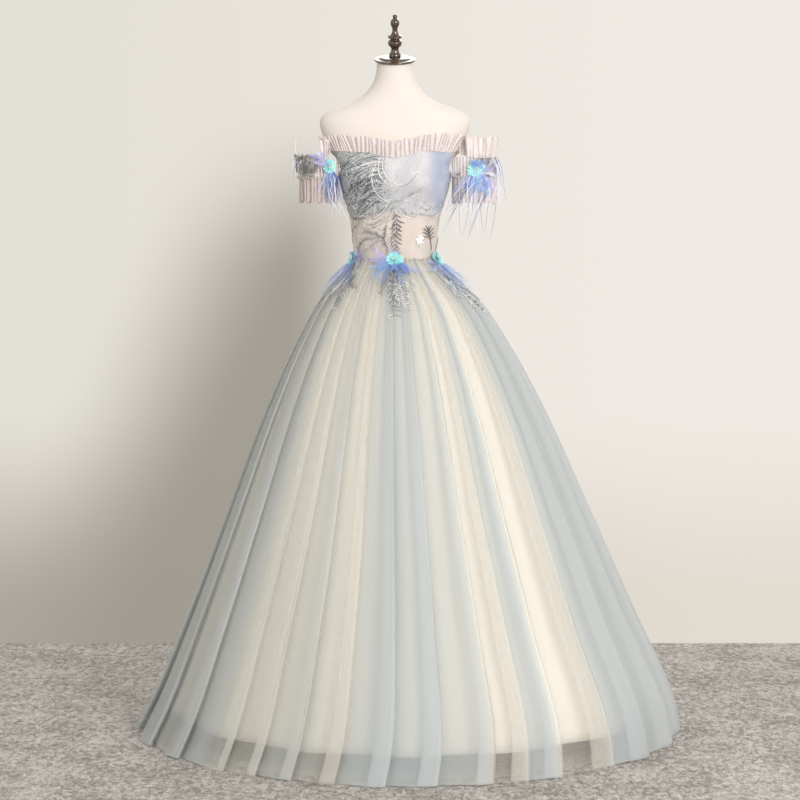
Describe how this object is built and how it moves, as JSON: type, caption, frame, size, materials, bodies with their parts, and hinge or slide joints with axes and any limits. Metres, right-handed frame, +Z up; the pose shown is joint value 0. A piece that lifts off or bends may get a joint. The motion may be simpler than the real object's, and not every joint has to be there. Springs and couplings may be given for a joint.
{
  "type": "ballroom gown on a dress form",
  "caption": "Off-the-shoulder ballroom gown with lace bodice, ruffled neckline, feather trims and pleated tulle skirt, on a limbless dress form with a stand.",
  "frame": {"origin": "centre of the stand's round foot, on the floor", "axes": "+Z up, -Y out of the gown's front, +X to the viewer's right"},
  "size_m": [1.283, 1.2866, 1.6639],
  "materials": {
    "form_cover": "matte cream jersey",
    "dark_wood": "glossy dark stain",
    "stand_metal": "satin grey",
    "bust_lace": "embroidered lace over a soft cup",
    "nude_mesh": "sheer mesh",
    "ruffle_tulle": "fine pleated tulle",
    "blue_tulle": "sheer soft tulle",
    "grey_tulle": "sheer soft tulle",
    "ivory_satin": "soft satin sheen",
    "aqua_petals": "pearly petals",
    "blue_feather": "soft feather barbs",
    "silver_applique": "raised silver thread",
    "button_satin": "covered button"
  },
  "bodies": {
    "root": {"bust_back_left": "bust_lace", "bust_back_right": "bust_lace", "bust_front": "bust_lace", "button_1": "button_satin", "button_2": "button_satin", "button_3": "button_satin", "button_4": "button_satin", "button_5": "button_satin", "button_6": "button_satin", "button_7": "button_satin", "feathers_sleeve_left": "blue_feather", "feathers_sleeve_right": "blue_feather", "feathers_waist_centre": "blue_feather", "feathers_waist_left": "blue_feather", "feathers_waist_right": "blue_feather", "finial": "dark_wood", "flower_sleeve_left": "aqua_petals", "flower_sleeve_right": "aqua_petals", "flower_waist_centre": "aqua_petals", "flower_waist_left": "aqua_petals", "flower_waist_right": "aqua_petals", "form_torso": "form_cover", "lining_back": "ivory_satin", "lining_front": "ivory_satin", "lining_left": "ivory_satin", "lining_right": "ivory_satin", "midriff_back_left": "nude_mesh", "midriff_back_right": "nude_mesh", "midriff_front": "nude_mesh", "neck_cap": "dark_wood", "ruffle_back": "ruffle_tulle", "ruffle_front": "ruffle_tulle", "sleeve_left_band": "nude_mesh", "sleeve_left_flounce": "ruffle_tulle", "sleeve_left_ruffle": "ruffle_tulle", "sleeve_right_band": "nude_mesh", "sleeve_right_flounce": "ruffle_tulle", "sleeve_right_ruffle": "ruffle_tulle", "spray_centre": "silver_applique", "spray_left": "silver_applique", "spray_right": "silver_applique", "stand_base": "stand_metal", "stand_pole": "stand_metal", "tulle_back": "blue_tulle", "tulle_front": "blue_tulle", "tulle_left": "blue_tulle", "tulle_right": "blue_tulle", "under_tulle_back": "grey_tulle", "under_tulle_front": "grey_tulle", "under_tulle_left": "grey_tulle", "under_tulle_right": "grey_tulle"}
  },
  "joints": []
}
